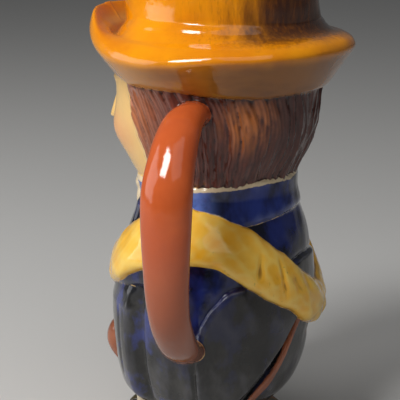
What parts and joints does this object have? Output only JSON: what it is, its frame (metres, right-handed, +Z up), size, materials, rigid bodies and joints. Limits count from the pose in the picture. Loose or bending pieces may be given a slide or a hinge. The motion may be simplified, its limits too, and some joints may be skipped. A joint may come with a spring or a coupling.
{
  "type": "toby jug",
  "caption": "Glazed earthenware toby jug: a seated man in a broad hat, hollow and open through the crown, with a side handle",
  "frame": {"origin": "on the vertical line through the middle of the hat's crown, at the underside of the plinth", "axes": "+Z up; the figure faces -Y; the handle stands out of the figure's left side, towards +X"},
  "size_m": [0.1278, 0.1007, 0.2],
  "materials": {
    "glazed_earthenware": "glossy clear lead-type glaze over hand-painted amber, cobalt blue, ochre yellow, terracotta and dark brown; bare pale clay underneath the foot"
  },
  "bodies": {
    "root": {"toby_jug": "glazed_earthenware"}
  },
  "joints": []
}
